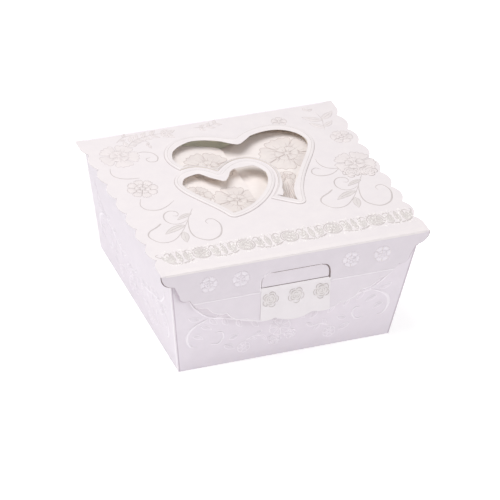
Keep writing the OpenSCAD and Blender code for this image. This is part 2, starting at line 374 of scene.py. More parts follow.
class Relief:
    """Raised closed shapes on one plane, gathered into one mesh piece."""

    def __init__(self, plane):
        self.plane = plane
        self.verts = []
        self.faces = []

    def add(self, x, y, z):
        self.verts.append(self.plane.at(x, y, z))
        return len(self.verts) - 1

    def ring(self, middle, half, height, section):
        """One cross-section of a band. half is the way from its middle to its side."""
        return [self.add(*(middle + half * u), SUNK if h is None else height * h) for u, h in section]

    def loop(self, outline, width=0.3, height=0.16):
        """A thin raised line round a closed outline."""
        rings = [self.ring(p, side_of(outline, i, closed=True) * width / 2, height, CROWN)
                 for i, p in enumerate(outline)]
        self.faces += skin(rings + rings[:1])

    def loft(self, outer, inner, section):
        """A closed ring between two outlines that run the same way. The section gives
        (share of the way from outer to inner, height)."""
        rings = [[self.add(*(a + (b - a) * u), h) for u, h in section] for a, b in zip(outer, inner)]
        self.faces += skin(rings + rings[:1])

    def band(self, line, width, height, profile, section):
        """A closed raised band along a line of 2-D points."""
        lengths = [0.0, *accumulate((b - a).length for a, b in zip(line, line[1:]))]
        rings = []
        for i, p in enumerate(line):
            half = width / 2 * profile(lengths[i] / lengths[-1])
            thin = min(1, half / (width * 0.25))
            rings.append(self.ring(p, side_of(line, i) * half, height * thin, section))
        self.faces += tube(rings)

    def stroke(self, points, width=0.8, height=0.16, profile=even_width, steps=6):
        self.band(smooth(points, steps), width, height, profile, CROWN)

    def leaf(self, base, tip, width, bend=0.0, height=0.2):
        """A leaf from base to tip, with a groove along it. bend is its sideways bow."""
        self.band(leaf_spine(base, tip, bend), width, height, leaf_width, RIBBED)

    def dome(self, outline, height=0.2, rings=3):
        """A crowned shape inside an outline that can be seen whole from its middle."""
        middle = sum(outline, Vector((0, 0))) / len(outline)
        loops = []
        for k in range(rings, 0, -1):
            share = k / rings
            z = SUNK if k == rings else height * sqrt(1 - share ** 2)
            loops.append([self.add(*(middle + (p - middle) * share), z) for p in outline])
        top, last = self.add(*middle, height), loops[-1]
        self.faces += skin(loops) + [tuple(reversed(loops[0]))]
        self.faces += [(last[k - 1], last[k], top) for k in range(len(last))]

    def dot(self, x, y, r, height=0.16):
        self.dome(circle(x, y, r, 12), height, rings=2)

    def piece(self, name, material, body, limits=()):
        """The finished mesh, riding on a body and cut off at the limits: (x, y) on the plane
        and the way out from there."""
        cuts = [(self.plane.at(x, y), self.plane.across * out_x + self.plane.down * out_y)
                for (x, y), (out_x, out_y) in limits]
        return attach(mesh_object(name, self.verts, self.faces, material, cuts=cuts), body)


def new_object(name, data):
    made = bpy.data.objects.new(name, data)
    scene.collection.objects.link(made)
    return made


def mesh_object(name, verts, faces, material, cuts=()):
    """A smooth-shaded mesh of closed shells, with its sharp edges kept. Each cut is a point and
    the direction that is cut away."""
    mesh = bpy.data.meshes.new(name)
    mesh.from_pydata(verts, [], faces)
    work = bmesh.new()
    work.from_mesh(mesh)
    for point, away in cuts:
        geometry = work.verts[:] + work.edges[:] + work.faces[:]
        bmesh.ops.bisect_plane(work, geom=geometry, dist=1e-7, plane_co=point, plane_no=away, clear_outer=True)
        bmesh.ops.holes_fill(work, edges=[e for e in work.edges if e.is_boundary])
    bmesh.ops.recalc_face_normals(work, faces=work.faces)
    work.to_mesh(mesh)
    work.free()
    mesh.materials.append(material)
    mesh.shade_smooth()
    mesh.set_sharp_from_angle(angle=SHARP_FOLD)
    made = new_object(name, mesh)
    return made


class Drawing:
    """Ornament on one plane: filled shapes, and the fine lines drawn over them."""

    def __init__(self, plane, weight=1.0):
        self.fill = Relief(plane)
        self.line = Relief(plane)
        self.weight = weight

    def leaf(self, base, tip, width, bend=0.0):
        """A leaf with a fine edge and midrib."""
        self.fill.leaf(base, tip, width, bend)
        spine = leaf_spine(base, tip, bend)
        halves = [side_of(spine, i) * width / 2 * leaf_width(i / (len(spine) - 1)) for i in range(len(spine))]
        edge = [p + half for p, half in zip(spine, halves)] + [p - half for p, half in zip(spine, halves)][::-1]
        self.line.loop(edge, 0.26 * self.weight, 0.14)
        self.line.band(spine[1:-2], 0.24 * self.weight, 0.24, swelling, CROWN)

    def bloom(self, x, y, r, petals=5, turn=0.0, fullness=0.95, veins=2, eye=0.2, height=0.16):
        """A flower with lobed petals, each edged and veined, round a ring of dots."""
        middle = Vector((x, y))
        half = r * sin(pi / petals) * fullness
        for k in range(petals):
            out = polar(0, 0, 1, turn + 360 * k / petals)
            side = Vector((-out.y, out.x))
            edge = PETAL_EDGE + [(u, -v) for u, v in PETAL_EDGE[-2::-1]]
            edge = smooth([middle + out * r * u + side * half * v for u, v in edge], 3, closed=True)
            self.fill.dome(edge, height)
            self.line.loop(edge, 0.3 * self.weight, height * 0.9)
            for i in range(veins):
                lean = (i - (veins - 1) / 2) * 0.5
                self.line.stroke([middle + out * r * 0.24 + side * half * lean * 0.4,
                                  middle + out * r * 0.45 + side * half * lean * 0.8,
                                  middle + out * r * 0.68 + side * half * lean],
                                 0.3 * self.weight, height * 1.35, swelling, 3)
        self.fill.dot(x, y, r * eye, height * 1.5)
        if r > 5:
            for k in range(8):
                self.line.dot(*polar(x, y, r * eye, turn + 45 * k), 0.3, height * 1.8)

    def rose(self, x, y, r, turn=0.0):
        """A round flower of curled petals, drawn as rings of short arcs over a lobed ground."""
        lobes = [polar(x, y, r * (0.96 + 0.08 * cos(radians(45 * k))), 9 * k) for k in range(40)]
        self.fill.dome(lobes, 0.18)
        for share, count, shift in ((1.0, 5, 0), (0.7, 4, 40), (0.4, 3, 15), (0.16, 1, 80)):
            spread = 180 / count * 0.86 if count > 1 else 130
            for k in range(count):
                middle = turn + shift + 360 * k / count
                arc = [polar(x, y, r * share * bulge, middle + spread * step) for step, bulge in ROSE_ARC]
                self.line.stroke(arc, 0.5 * self.weight, 0.3, swelling, 3)

    def vine(self, points, leaves, size, paired=False, stem=0.5):
        """A stem with leaves along it, on alternate sides or in pairs."""
        line = smooth(points)
        self.line.band(line, stem * self.weight, 0.14, even_width, CROWN)
        for k in range(leaves):
            i = min(round((k + 0.8) / (leaves + 0.1) * (len(line) - 1)), len(line) - 2)
            along = (line[i + 1] - line[i]).normalized()
            side = Vector((-along.y, along.x))
            for way in (-1, 1) if paired else ((-1) ** k,):
                tip = line[i] + (along * 0.72 + side * way * 0.7) * size
                self.leaf(line[i], tip, size * 0.46, 0.07 * size * way)

    def pieces(self, name, fill, line, body, limits=()):
        if self.fill.faces:
            self.fill.piece(name, fill, body, limits)
        if self.line.faces:
            self.line.piece(name + "_lines", line, body, limits)


# ---------------- lid ornament

# The three-branched scroll, from the upper end of its stem
SCROLL_LEFT_LOOP = [(0, 0), (-3.2, 4.6), (-6.9, 10.7), (-13.1, 19.4), (-20.6, 26.3), (-28.1, 26.3),
                    (-32.3, 20), (-30.6, 15), (-25, 11.6), (-21.9, 9.1)]
SCROLL_RIGHT_LOOP = [(-5.3, 7.5), (-7.8, 15), (-8.9, 22), (-7.4, 27.4), (-1.6, 31.5), (5.6, 28.5),
                     (9.3, 20), (8, 13.6), (5, 11.9), (2.6, 13.6), (3, 16.2)]
SCROLL_CURL = [(-6.5, 9.4), (-9.4, 11.3), (-13.1, 11.9), (-16.4, 10.4), (-18.3, 6.6), (-17.5, 1.8),
               (-14.6, -1), (-11.2, -0.9), (-9.2, 1.4), (-10.2, 4.2), (-12.8, 3.6)]
SCROLL_LEAVES = [((-2.2, 4.2), (-11.6, 8), 3, 0.5), ((-9.6, 14), (-22.8, 19.4), 4.2, 0.7),
                 ((-12.4, 20), (-14.4, 30), 4.4, 0.0)]
LEFT_SCROLL_TOP = Vector((-39.4, 83.6))
RIGHT_SCROLL_TOP = Vector((64.2, 78.8))


def lid_scrolls():
    for name, top in (("lid_scroll_left", LEFT_SCROLL_TOP), ("lid_scroll_right", RIGHT_SCROLL_TOP)):
        drawing = Drawing(LID)
        for branch, width, profile in ((SCROLL_LEFT_LOOP, 0.95, lambda t: 0.4 + 0.8 * t * t),
                                       (SCROLL_RIGHT_LOOP, 1.1, swelling), (SCROLL_CURL, 0.8, swelling)):
            drawing.line.stroke([Vector(p) + top for p in branch], width, profile=profile)
        for base, tip, width, bend in SCROLL_LEAVES:
            drawing.leaf(top + Vector(base), top + Vector(tip), width, bend)
        drawing.pieces(name, LEAF_INK, LINE_INK, "lid")


# Free stems, as (width, points)
LID_STEMS = [
    (0.8, [(-69.2, 32.6), (-70.4, 37), (-69.4, 41.4), (-65.8, 44.4), (-61, 45.8), (-56.6, 46.2)]),
    (0.9, [(-63.4, 66.4), (-65.6, 72.4), (-63.8, 77.4), (-58, 79.4), (-52, 77.4), (-46, 72.8)]),
    (0.8, [(-50, 22), (-45.6, 21.4), (-41, 24), (-39.4, 28.6), (-41.6, 32.6), (-45.6, 32), (-46.4, 28.8),
           (-43.6, 28)]),
    (0.9, [(45.4, 56), (45.4, 61), (47.2, 65.2), (50.6, 67.6), (55.4, 68.8)]),
    (0.9, [(44.4, 66.6), (41.9, 64.6), (39.2, 66), (38.2, 69.4), (40.4, 72.4), (44.8, 73.4), (49.6, 72.4),
           (54.6, 68.8)]),
]


def lid_stems():
    relief = Relief(LID)
    for width, points in LID_STEMS:
        relief.stroke(points, width, profile=swelling)
    relief.piece("lid_stems", LINE_INK, "lid")


# Flowers with an inner ring of petals:
# (name, x, y, radius, petals, turn, fullness, inner petals, ink of the lines)
LID_FLOWERS = [
    ("lid_flower_back_left", -60, 22, 11.6, 5, 18, 0.76, 5, FAINT_LINE),
    ("lid_flower_left", -58.8, 57, 9, 8, 0, 0.72, 6, LINE_INK),
    ("lid_flower_right", 65.4, 66.4, 12, 5, -54, 0.78, 5, LINE_INK),
    ("lid_flower_small", 69, 38.2, 6.6, 6, 12, 0.74, 5, FAINT_LINE),
]


def lid_flowers():
    for name, x, y, r, petals, turn, fullness, inner, line_ink in LID_FLOWERS:
        drawing = Drawing(LID)
        drawing.bloom(x, y, r, petals, turn, fullness)
        drawing.bloom(x, y, r * 0.5, inner, turn + 180 / petals, 0.8, 1, height=0.26)
        drawing.pieces(name, PETAL_INK, line_ink, "lid")
    buds = Drawing(LID)
    buds.rose(59.6, 74.6, 4.8, 40)
    buds.rose(69.6, 75.8, 5, 10)
    buds.bloom(40.5, 13.2, 4.6, 5, 0, 0.7, 1)
    buds.pieces("lid_buds", PETAL_INK, LINE_INK, "lid")


def lid_sprigs():
    drawing = Drawing(LID)
    drawing.vine([(-53.4, 16), (-49.6, 11.4), (-45, 8.4), (-38, 6.4), (-30, 6), (-24.6, 7.6)], 7, 5.6, True)
    drawing.vine([(-57, 8.6), (-52, 4.4), (-46, 3)], 3, 4)
    drawing.vine([(-40.6, 10), (-39, 13.6), (-40.8, 16.6)], 2, 3.4)
    drawing.line.stroke([(62.6, 29), (64, 23), (65.4, 17.4), (64.6, 9.6)], 0.6, profile=swelling)
    drawing.leaf((65.4, 17.2), (74.4, 11), 4.2, 0.5)
    drawing.leaf((65, 18.6), (55, 12.6), 4.4, -0.5)
    drawing.leaf((63.4, 26.4), (56.8, 19.6), 3.8, -0.4)
    drawing.leaf((63.8, 25), (70.4, 20.6), 3.2, 0.4)
    drawing.vine([(60.6, 7), (62.4, 2.6)], 1, 4, True)
    drawing.vine([(-9.4, 5.4), (-2, 6.8), (5, 4.4)], 3, 4.4, True)
    drawing.pieces("lid_sprigs", PETAL_INK, FAINT_LINE, "lid")


LACE_MIDDLE = 124.2
LACE_TILT = -0.0214
LACE_PITCH = 25.9
LACE_FIRST = -49.8
LACE_MEDALLIONS = 5
LACE_R = 5.1
LACE_CENTRE = LACE_FIRST + (LACE_MEDALLIONS - 1) / 2 * LACE_PITCH
LACE_GAP = LACE_PITCH / 2 - LACE_R  # half of the space between two medallions
SPECK_COLUMNS = 113
SPECK_ROWS = (-5.9, -2.4, 0.4, 3, 6.6)
SPECK_LENGTH = LACE_PITCH * 5.62


def lace(u, v):
    """A place on the lid from the lace's own frame: u along it, v down from its middle line."""
    return Vector((u, LACE_MIDDLE + LACE_TILT * u + v))


def beside(u, way):
    """Places on the lace measured from u: to the right where way is 1, to the left where it is -1."""
    return lambda x, y: lace(u + way * x, y)


def lace_medallion(drawing, u):
    """A flower in a ring, with beads over it and two leaves below."""
    x, y = lace(u, 0)
    drawing.line.loop(circle(x, y, LACE_R), 0.8, 0.18)
    drawing.bloom(x, y, 4.2, 6, 30, 0.84, 1, 0.24)
    for k in range(9):
        drawing.fill.dot(*polar(x, y, LACE_R + 1, 190 + 20 * k), 0.55, 0.14)
    for way in (-1, 1):
        at = beside(u, way)
        drawing.fill.leaf(at(0.4, 5.6), at(4.6, 3.4), 1.5, -0.5 * way, 0.16)


def lace_link(drawing, u):
    """Upright leaves between two medallions on a hanging loop, with curls beside them."""
    half = LACE_GAP
    for way in (-1, 1):
        at = beside(u, way)
        drawing.line.stroke([at(half, -3.2), at(half - 1.6, -4.8), at(half - 3.2, -4.2), at(half - 2.8, -2)],
                            0.9, 0.17, swelling)
        drawing.line.stroke([at(half, 3.6), at(half * 0.6, 5.4), at(0, 6.2)], 1.1, 0.16)
        drawing.leaf(at(3.8, 4.8), at(3.6, -4.2), 2.7, 0.3 * way)
        drawing.fill.leaf(at(5.2, 4.4), at(half - 0.6, -1.6), 2.6, -0.5 * way, 0.17)
        drawing.fill.leaf(at(5.4, -0.4), at(half - 1.2, -3), 1.4, 0.3 * way, 0.15)
        for k in range(3):
            drawing.fill.dot(*at(1.7 + 1.5 * k, -4.9 + 0.25 * k), 0.5, 0.15)
            drawing.line.dot(*at(1.2 + 2.2 * k, 6.9 - 0.6 * k), 0.35, 0.13)
    drawing.leaf(lace(u, 5.2), lace(u, -5.4), 2.9)


def lid_lace():
    drawing = Drawing(LID)
    for k in range(LACE_MEDALLIONS):
        lace_medallion(drawing, LACE_FIRST + k * LACE_PITCH)
    for k in range(-1, LACE_MEDALLIONS):
        lace_link(drawing, LACE_FIRST + (k + 0.5) * LACE_PITCH)
    for way, reach in ((-1, 4.4), (1, 2.2)):
        at = beside(LACE_CENTRE + way * (LACE_PITCH * LACE_MEDALLIONS / 2 + LACE_GAP), way)
        drawing.fill.leaf(at(-1.8, 4.4), at(reach * 0.3, -3.4), 2.4, 0.8 * way, 0.17)
        drawing.line.stroke([at(-1, 1), at(reach * 0.6, -1.8), at(reach, -4.2), at(reach * 0.6, -5.2)],
                            0.8, 0.15, swelling)
    drawing.pieces("lid_lace", LACE_INK, LINE_INK, "lid")
    bright_specks = Relief(LID)
    for k in range(SPECK_COLUMNS):
        u = LACE_CENTRE + (k / (SPECK_COLUMNS - 1) - 0.5) * SPECK_LENGTH
        for row, v in enumerate(SPECK_ROWS):
            drift = 0.7 * sin(k * 2.3 + row * 1.7)
            place = lace(u + 0.4 * cos(k * 1.7 + row), v + drift)
            bright_specks.dot(*place, 0.42 + 0.16 * sin(k + row), 0.34)
    bright_specks.piece("lid_lace_bright_specks", BRIGHT_SPECKS, "lid")


# ---------------- the frame's outlines, and the heart rims

ON_PLANE = 0.05  # mm
FACING_PLANE = 0.99  # the least cosine between a face's normal and the plane's


def face_outlines(name, plane):
    """The closed edges of a node's faces that lie in a plane, the longest way round first."""
    work = bmesh.new()
    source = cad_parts[name]
    work.from_mesh(source.data)
    work.transform(source.matrix_world)
    bmesh.ops.remove_doubles(work, verts=work.verts, dist=1e-6)
    work.normal_update()
    work.faces.index_update()
    flat = [f for f in work.faces if f.normal.dot(plane.out) > FACING_PLANE
            and abs((f.calc_center_median() / MM - plane.origin).dot(plane.out)) < ON_PLANE]
    inside = {f.index for f in flat}
    following = {}
    for face in flat:
        for corner in face.loops:
            if not any(other.index in inside for other in corner.edge.link_faces if other is not face):
                following[corner.vert] = corner.link_loop_next.vert
    outlines = []
    while following:
        at = next(iter(following))
        outline = []
        while at in following:
            place = at.co / MM - plane.origin
            outline.append(Vector((place.dot(plane.across), place.dot(plane.down))))
            at = following.pop(at)
        outlines.append(outline)
    work.free()
    return sorted(outlines, key=lambda o: -sum((a - b).length for a, b in zip(o, o[1:] + o[:1])))


def nearest(point, outline):
    """The nearest place to a point on a closed outline."""
    best = None
    for a, b in zip(outline, outline[1:] + outline[:1]):
        edge = b - a
        share = max(0, min(1, (point - a).dot(edge) / edge.length_squared)) if edge.length else 0
        place = a + edge * share
        if best is None or (place - point).length < (best - point).length:
            best = place
    return best


def resampled(outline, pitch=0.8, closed=True):
    """A line or outline with its points evenly spaced."""
    out = []
    spare = 0.0
    for a, b in zip(outline, outline[1:] + (outline[:1] if closed else [])):
        length = (b - a).length
        while spare < length:
            out.append(a + (b - a) * (spare / length))
            spare += pitch
        spare -= length
    return out


# The crowned top of a heart's rim: (share of the way in, height above the rim), and where its line runs
RIM_CROWN = [(0.03, -0.04), (0.06, 0.04), (0.16, 0.16), (0.4, 0.2), (0.7, 0.16), (0.9, 0.06), (0.96, -0.04)]
RIM_LINE = 0.4
# The rolled lip that hangs over the far side of each opening, and how far it reaches
RIM_LIP = [(0, -0.05), (0.4, 0.05), (0.85, 0.03), (1, -0.06), (1, -0.26), (0, -0.3)]
LIP_ROOT = 0.5
LIP_HIDE = 0.06  # how far the lip stays back from the edge where it doesn't hang over
LIP_REACH = (1.1, 1.5)
NEAR_SIDE = -0.6
# Where the lip reaches further or less far: (x, y, radius, extra reach), for each opening
LIP_SPOTS = (
    [(10, 26, 9, 1.3), (30, 18, 22, 1.0), (-24, 20.5, 8, 0.6), (9.5, 86, 10, 2.8), (23, 83, 14, 1.5)],
    [(-17, 55.5, 7, 1.3), (4, 49.4, 6, 1.5), (-29, 50.7, 5, 0.6), (-10.5, 59, 3.5, 0.5), (-5, 53.5, 4, -0.8)],
)


def rim_lip(crown, hole, reach, spots):
    """A thin lip over the far side of a hole; on the near side it stays within the paper."""
    turn = copysign(1, sum(a.x * b.y - b.x * a.y for a, b in zip(hole[-1:] + hole[:-1], hole)))
    root, edge = [], []
    for i, at in enumerate(hole):
        inward = side_of(hole, i, closed=True) * turn
        root.append(at - inward * LIP_ROOT)
        over = reach * sqrt(max(0.0, inward.y))
        if inward.y > NEAR_SIDE:
            over += sum(extra * max(0.0, 1 - (at - Vector((x, y))).length_squared / radius ** 2)
                        for x, y, radius, extra in spots)
        edge.append(at + inward * (max(0.0, over) - LIP_HIDE))
    crown.loft(root, edge, RIM_LIP)


def heart_rims():
    """Rounds off each raised rim in the lighter rim paper, partly a painted highlight, and draws the fine lines
    round it. The line at each rim's foot is partly a printed outline and partly painted shade of the raised
    step.
    """
    outlines = [resampled(o) for o in face_outlines("lid_panel", RIM_TOP)]
    crown = Relief(RIM_TOP)
    foot = Relief(LID)
    middle = Relief(RIM_TOP)
    for outer, inner, reach, spots in zip(outlines[0::2], outlines[1::2], LIP_REACH, LIP_SPOTS):
        rim_lip(crown, inner, reach, spots)
        across = [nearest(p, inner) for p in outer]
        crown.loft(outer, across, RIM_CROWN)
        # A dark line just outside each rim's foot: partly a printed outline, partly painted shade of the raised
        # step.
        outside = [p + (p - q).normalized() * 0.12 for p, q in zip(outer, across)]
        foot.loop(outside, 0.5, 0.1)
        middle.loop([p + (q - p) * RIM_LINE for p, q in zip(outer, across)], 0.32, 0.26)
    crown.piece("heart_rim_crowns", RIM_AND_FOLD_HIGHLIGHT, "lid")
    foot.piece("heart_rim_outline_shade", LINE_INK, "lid")
    middle.piece("heart_rim_lines", LINE_INK, "lid")


heart_rims()
lid_scrolls()
lid_stems()
lid_flowers()
lid_sprigs()
lid_lace()

# ---------------- front flap

BAND_FLOWERS = [-51.0, -32.4, 32.4, 51.0]
BAND_FLOWER_Y = 9.8
PANEL_FLOWERS = [-14.4, 0.7, 15.8]
PANEL_FLOWER_Y = 5.4
PANEL_LEFT = -20.0
PANEL_RIGHT = 21.0
PANEL_TOP = 0.2
PANEL_BOARD = 0.3
PANEL_BOW = 0.25
# The middle lobe of the apron's edge, and the next one on each side: (x, distance from the fold)
MIDDLE_CUSP = (0.135 * LID_HALF_W, 0.927 * FLAP_DROP)
NEXT_CUSP = (0.35 * LID_HALF_W, 0.877 * FLAP_DROP)
LOBE_RISE = 2.0


def lobe_depth(x, a, b, rise):
    """How far down the circular lobe hung from a on the left to b reaches at x."""
    (ax, ay), (bx, by) = a, b
    span = hypot(bx - ax, by - ay)
    r = (span ** 2 / 4 + rise ** 2) / (2 * rise)
    down = Vector((ay - by, bx - ax)) / span
    centre = Vector(((ax + bx) / 2, (ay + by) / 2)) + down * (rise - r)
    return centre.y + sqrt(max(r ** 2 - (x - centre.x) ** 2, 0))


def apron_edge(x):
    """The apron's scalloped edge near the middle, as a distance from the fold."""
    if abs(x) <= MIDDLE_CUSP[0]:
        middle_rise = FLAP_DROP - MIDDLE_CUSP[1]
        return lobe_depth(x, (-MIDDLE_CUSP[0], MIDDLE_CUSP[1]), MIDDLE_CUSP, middle_rise)
    return lobe_depth(abs(x), MIDDLE_CUSP, NEXT_CUSP, LOBE_RISE)


def middle_panel():
    """The whiter panel in the middle of the apron, a sheet of its own that stands off at its foot. Its whiter
    paper is partly its own colour and partly painted light on its upturned face.
    """
    columns, rows = 56, 12
    panel = Relief(PANEL)
    rings = []
    for i in range(columns + 1):
        x = PANEL_LEFT + (PANEL_RIGHT - PANEL_LEFT) * i / columns
        drop = apron_edge(x) - APRON_CREASE - PANEL_TOP
        bow = PANEL_BOW * sin(pi * i / columns)
        front = [(x, PANEL_TOP + drop * k / rows, bow * k / rows) for k in range(rows + 1)]
        back = [(x, y, z - PANEL_BOARD) for x, y, z in reversed(front)]
        rings.append([panel.add(*p) for p in front + back])
    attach(mesh_object("apron_middle_panel", panel.verts, tube(rings), PANEL_PAPER), "apron")


def window_sill():
    """The whiter strip of the band between the lock window and the apron's crease, in the panel's paper, which
    is partly painted light.
    """
    relief = Relief(BAND)
    line = [Vector((x, (TAB_CREASE + APRON_CREASE) / 2)) for x in (PANEL_LEFT, PANEL_RIGHT)]
    section = [(-1, None), (-1, 1), (1, 1), (1, None)]
    relief.band(line, APRON_CREASE - TAB_CREASE - 0.1, 0.14, lambda t: 1, section)
    relief.piece("window_sill", PANEL_PAPER, "front_flap")


def window_cut():
    """Painted shade in lines round the lock window's cut, and a painted highlight on the lit edge at its left.
    """
    shade = Relief(BAND)
    half, foot, top, corner = WINDOW_W / 2, TAB_CREASE, TAB_CREASE - WINDOW_H, 5
    shade.stroke([(-half + corner, top - 0.2), (0, top - 0.2), (half - corner, top - 0.2)], 0.4, 0.06)
    shade.stroke([(half - corner, top - 0.2), (half - 1.4, top + 1.2), (half + 0.2, top + corner),
                  (half + 0.3, foot)], 0.8, 0.06, lambda t: 0.5 + 0.5 * min(1, t * 2))
    shade.stroke([(-half, foot), (0, foot), (half, foot)], 0.5, 0.16)
    shade.dome(smooth([(half - 0.6, foot - 0.7), (half + 0.7, foot - 0.5), (half + 0.8, foot + 1),
                       (half - 0.2, foot + 0.9)], 3, closed=True), 0.2)
    shade.piece("window_cut_shade", CUT_SHADE, "front_flap")
    # Painted highlight: bright strokes on the left edges of the window and the middle panel, where the light
    # falls.
    edge = Relief(BAND)
    edge.stroke([(PANEL_LEFT - 0.4, y) for y in (13, 17, 21)], 0.6, 0.14)
    edge.stroke([(0.4 - half, top + 2.6), (2 - half, top + 0.6), (corner - half, top - 0.9)],
                0.7, 0.14, swelling)
    edge.piece("window_cut_highlight", CREASE_AND_HIGHLIGHT, "front_flap")


def apron_lobes():
    """The cut edge of the apron, from one end of its crease round to the other."""
    outline = resampled(face_outlines("flap_apron", APRON)[0], 0.6)
    low = [i for i, p in enumerate(outline) if p.y > 0.8]
    first = next(i for i in low if outline[i - 1].y <= 0.8)
    return [outline[(first + k) % len(outline)] for k in range(len(low))]


def behind(plane):
    """The same plane at the back of the board."""
    return Plane(plane.origin - plane.out * (BOARD - 0.1), plane.across, plane.down)


def apron_edge_line():
    """The cut edge of the apron's lobes as a bright strip, partly the board's pale cut edge and partly a
    painted highlight, and a painted shade under it.
    """
    for name, plane, by, width, height, material in (
            ("apron_cut_edge", APRON, -0.35, 0.6, 0.1, CREASE_AND_HIGHLIGHT),
            ("apron_edge_shade", behind(APRON), 0.4, 1.0, 0.05, EDGE_SHADE)):
        relief = Relief(plane)
        relief.band(moved_across(apron_lobes(), by), width, height, even_width, CROWN)
        relief.piece(name, material, "apron")


def band_edge():
    """The shade under the band's left and right ends: deep at the lobe, soft on the step below it."""
    outline = face_outlines("flap_band", BAND)[0]
    for way, name in ((-1, "band_edge_shade_left"), (1, "band_edge_shade_right")):
        end = [p for p in outline if p.x * way > 59]
        end = resampled(end if way < 0 else end[::-1], 0.6, closed=False)
        lobe = [p for p in end if p.y < 7.9 and abs(p.x) > 70]
        step = [p for p in end if 7.2 < p.y < 18.8 and abs(p.x) < 72.6]
        for line, by, width, piece_name, material in ((lobe, 0.2, 0.9, name, CUT_SHADE),
                                                      (step, 0.3, 1.4, name + "_step", FOLD_SHADE)):
            relief = Relief(behind(BAND))
            relief.band(moved_across(line, by * way), width, 0.05, swelling, CROWN)
            relief.piece(piece_name, material, "front_flap")


def band_flowers():
    drawing = Drawing(BAND)
    for x in BAND_FLOWERS:
        drawing.bloom(x, BAND_FLOWER_Y, 5.2, 6, 0, 0.76, 1)
        drawing.bloom(x, BAND_FLOWER_Y, 2.6, 5, 15, 0.84, 0, height=0.26)
    drawing.pieces("band_flowers", PEARL_INK, FLAP_PAPER, "front_flap")


def panel_flowers():
    drawing = Drawing(PANEL)
    for x in PANEL_FLOWERS:
        drawing.rose(x, PANEL_FLOWER_Y, 4.6, 20 * x)
    drawing.pieces("apron_flowers", PANEL_INK, LINE_INK, "apron")


middle_panel()
window_sill()
window_cut()
apron_edge_line()
band_edge()
band_flowers()
panel_flowers()

# ---------------- folded creases and corners

STRIP_STEPS = 24
TAB_HALF = 18.5


def extruded(name, ring, material):
    """A closed strip. ring gives its cross-section at each share of the way along it."""
    sections = [[Vector(p) * MM for p in ring(k / STRIP_STEPS)] for k in range(STRIP_STEPS + 1)]
    count = len(sections[0])
    rings = [range(k * count, (k + 1) * count) for k in range(len(sections))]
    return mesh_object(name, sum(sections, []), tube(rings), material)


def along_x(section, low, high):
    """A section of (y, z) points, carried along x from low to high."""
    return lambda t: [(low + (high - low) * t, y, z) for y, z in section]


def along_y(section, low, high):
    return lambda t: [(x, low + (high - low) * t, z) for x, z in section]


def back_crease():
    """The folded spine between the back wall and the lid."""
    y, z = BACK_Y, RIM_Z
    lean = 1.2 * tan(END_LEAN)
    section = [(y - lean + 0.02, z - 1.2), (y + 0.05, z), (y + 0.12, LID_UNDER), (y + 0.06, LID_TOP - 0.12),
               (y - 0.12, LID_TOP + 0.05), (y - 1.2, LID_TOP + 0.03), (y - 1.2, LID_TOP - 0.05),
               (y - 0.06, LID_TOP - 0.06), (y - 0.05, z), (y - lean - 0.06, z - 1.2)]
    strip = extruded("back_crease", along_x(section, -RIM_HALF_W + 0.4, RIM_HALF_W - 0.4), CREASE_AND_HIGHLIGHT)
    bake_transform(strip)


FOLD_HALF = 76.0


def front_fold():
    """The rounded fold between the lid and the front flap, in the lighter rim paper: a painted highlight along
    the fold.
    """
    y, z = FOLD_Y, LID_TOP
    section = [(y + 3.4, z - 0.06), (y + 3.4, z + 0.015), (y + 0.25, z + 0.06), (y + 0.02, z + 0.02),
               (y - 0.06, z - 0.18), (y - 0.06, z - 0.6), (y - 0.02, z - 1.1), (y + 0.06, z - 1.1),
               (y + 0.06, z - 0.06)]
    strip = extruded("front_fold", along_x(section, -FOLD_HALF, FOLD_HALF), RIM_AND_FOLD_HIGHLIGHT)
    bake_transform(strip)


def apron_crease(name, low, high, reach, material):
    """Pressed line where the apron bends, in a lighter paper."""
    y, z = FOLD_Y, LID_UNDER - APRON_CREASE
    section = [(y + 0.06, z + reach), (y - 0.03, z + reach), (y - 0.16, z + 0.5 * reach),
               (y - 0.2, z - 0.4 * reach), (y - 0.1, z - reach), (y + 0.02, z - reach)]
    strip = extruded(name, along_x(section, low, high), material)
    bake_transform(strip)


def tab_crease():
    """The uncut board behind the lock tab's crease."""
    y, z = FOLD_Y + BOARD, LID_UNDER - TAB_CREASE
    section = [(y - 0.04, z - 0.7), (y + 0.08, z - 0.7), (y + 0.1, z + 0.9), (y - 0.02, z + 0.9)]
    strip = extruded("tab_crease", along_x(section, -TAB_HALF, TAB_HALF), FLAP_PAPER)
    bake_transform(strip)


def dust_crease(name, way, slope):
    """The fold along a side wall's rim that carries a dust flap."""
    x, z = DUST_CREASE_X, RIM_Z
    drop = 1.3 * tan(slope)
    section = [(way * (x + 0.5), z - 0.05), (way * (x + 0.5), z + 0.03), (way * x, z + 0.08),
               (way * (x - 1.3), z - drop + 0.04), (way * (x - 1.3), z - drop - 0.05), (way * x, z - 0.06)]
    strip = extruded(name, along_y(section, -67, 66), CREASE_AND_HIGHLIGHT)
    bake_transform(strip)


# Sections of a corner's rounded fold, lighter as a painted highlight, and of the painted shade line beside it,
# as (x, y) outwards from the corner
CORNER_FOLD = [(-0.45, -0.05), (-0.45, 0), (-0.15, 0.06), (0.06, -0.15), (0.14, -1), (0, -2.2),
               (-0.05, -2.2), (-0.1, -0.1)]
CORNER_SHADE_LINE = [(-0.4, -0.05), (-0.4, 0.02), (-0.75, 0.06), (-1.1, 0.02), (-1.1, -0.05)]
CORNER_STOP = 0.3  # how far a corner's fold ends from the base and from the rim


def up_corner(section, x_way, y_way):
    """A section carried up one corner of the tray."""
    def ring(t):
        z = CORNER_STOP + (RIM_Z - 2 * CORNER_STOP) * t
        half_w = RIM_HALF_W - SIDE_INSET * (1 - z / RIM_Z)
        half_d = RIM_HALF_D - END_INSET * (1 - z / RIM_Z)
        return [(x_way * (half_w + x), y_way * (half_d + y), z) for x, y in section]
    return ring


